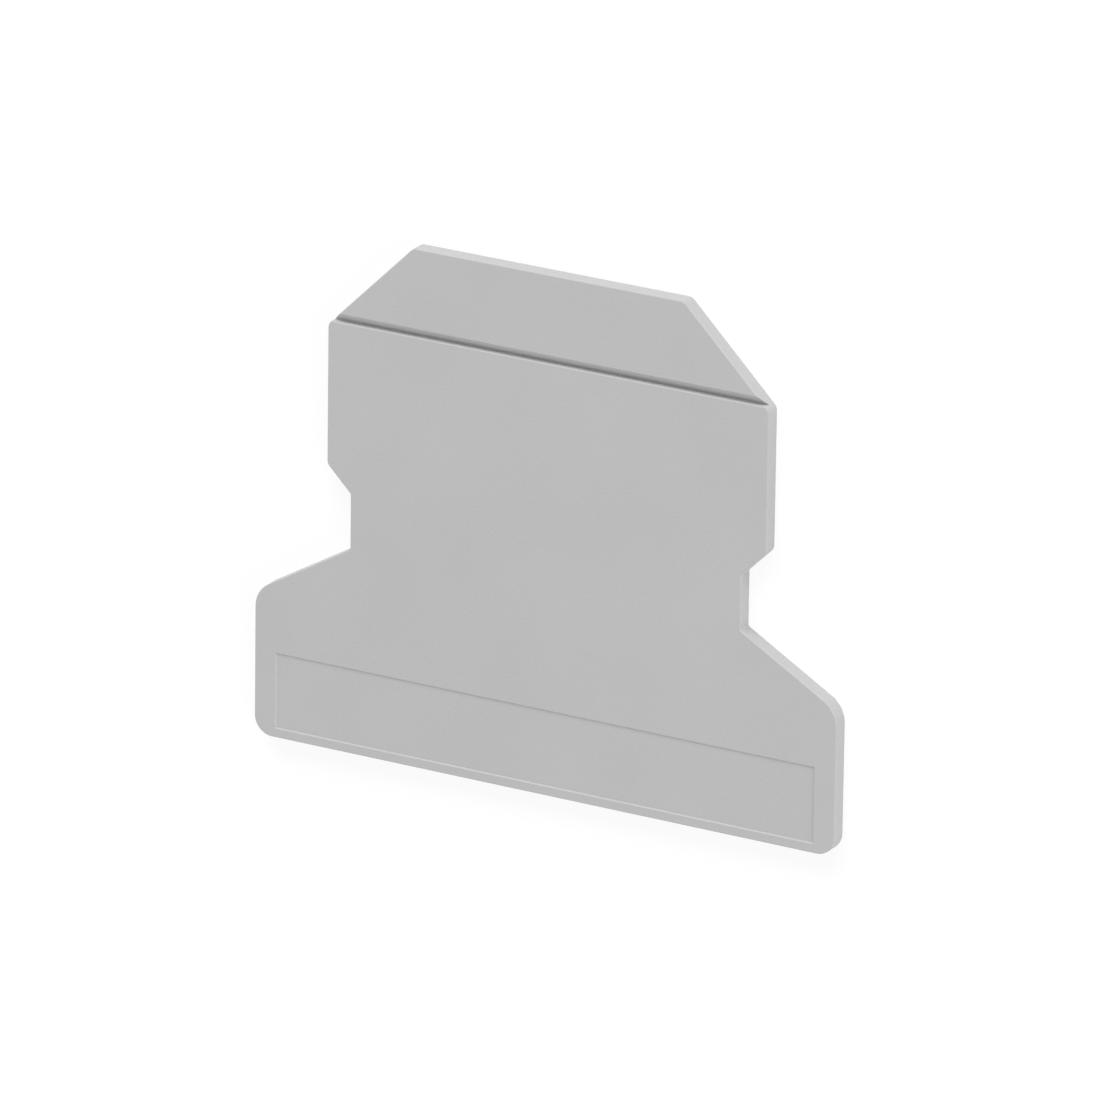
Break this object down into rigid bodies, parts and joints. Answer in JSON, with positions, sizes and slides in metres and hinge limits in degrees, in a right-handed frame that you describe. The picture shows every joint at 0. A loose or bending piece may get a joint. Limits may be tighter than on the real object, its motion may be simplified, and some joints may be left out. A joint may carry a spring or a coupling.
{
  "type": "terminal block partition plate",
  "caption": "Thin moulded plate with a wide foot, notched neck and cut-off top corners, set between rail terminal blocks as a barrier; snap groove near the top, recessed field at the foot.",
  "frame": {"origin": "centre of the plate's outline, on the back face that it lies on", "axes": "+X across the plate, +Y from the foot to the head, +Z out of the marked face"},
  "size_m": [0.056, 0.0464, 0.0015],
  "materials": {
    "grey_polyamide": "fine satin mould texture, light grey polyamide"
  },
  "bodies": {
    "root": {"partition_plate": "grey_polyamide"}
  },
  "joints": []
}
